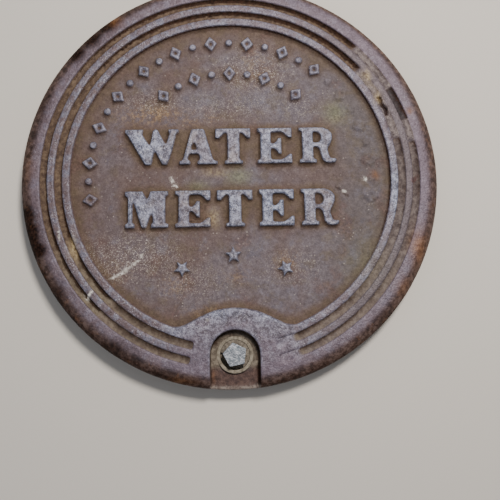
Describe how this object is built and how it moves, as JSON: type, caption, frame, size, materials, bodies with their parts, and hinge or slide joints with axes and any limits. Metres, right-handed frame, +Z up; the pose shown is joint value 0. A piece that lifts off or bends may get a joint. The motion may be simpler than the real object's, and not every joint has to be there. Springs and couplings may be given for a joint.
{
  "type": "water meter box cover",
  "caption": "Round cast-iron meter box cover with ringed rim, sunk field, raised studs and a five-sided turning lock in a pocket at the rim.",
  "frame": {"origin": "middle of the cover at the foot of its skirt, on the plane it rests on", "axes": "+Z up through the face, -Y towards the lock, +X to the right when seen from above with the lock at the bottom"},
  "size_m": [0.324, 0.324, 0.026],
  "materials": {
    "rusted_cast_iron": "rusted, worn grey on the raised faces",
    "dull_bronze": "weathered dull",
    "worn_bolt_metal": "worn bright, scratched",
    "rusted_steel": "rusted"
  },
  "bodies": {
    "cover": {"lid_casting": "rusted_cast_iron", "bolt_collar": "dull_bronze"},
    "lock": {"lock_bolt": "worn_bolt_metal", "thrust_washer": "rusted_steel", "latch_dog": "rusted_cast_iron", "dog_pin": "rusted_steel"}
  },
  "joints": [
    {"name": "lock_turn", "type": "hinge", "parent": "cover", "child": "lock", "pos_m": [0, -0.1358, 0], "axis": [0, 0, 1], "range_deg": [0, 90]}
  ]
}
